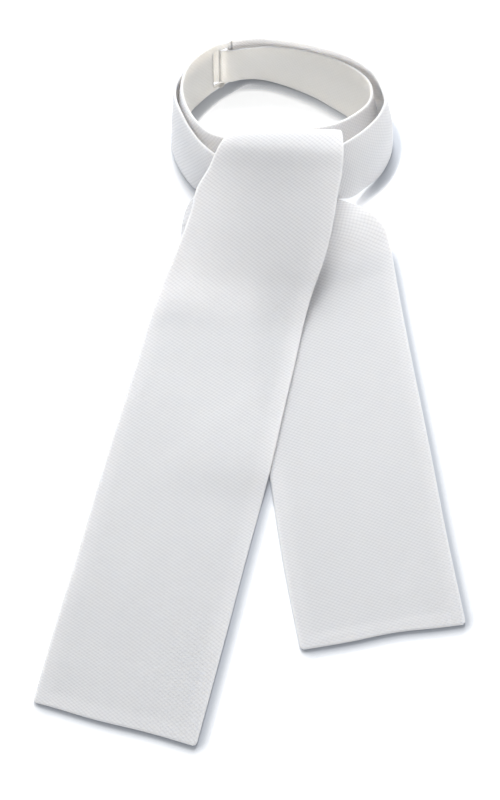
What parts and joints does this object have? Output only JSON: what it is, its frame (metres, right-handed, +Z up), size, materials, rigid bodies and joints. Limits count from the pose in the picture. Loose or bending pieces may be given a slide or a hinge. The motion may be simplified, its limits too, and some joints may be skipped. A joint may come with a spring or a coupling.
{
  "type": "stock tie",
  "caption": "White cotton pique stock tie laid flat, its slotted neck loop standing on edge and its wide ends tied in a soft half knot",
  "frame": {"origin": "middle of the base, on the table that the tie lies on", "axes": "+Y from the free ends towards the back of the neck loop, +X to the right seen from the free ends, +Z up"},
  "size_m": [0.265, 0.5002, 0.0564],
  "materials": {
    "pique": "matte white cotton pique",
    "pique_inner": "matte off-white cotton pique",
    "thread": "matte white sewing thread"
  },
  "bodies": {
    "root": {"front_tail": "pique", "knot_rise": "pique", "knot_cross": "pique", "right_band": "pique", "neck_band": "pique_inner", "left_band": "pique", "under_tail": "pique", "slot_bartack": "thread"}
  },
  "joints": []
}
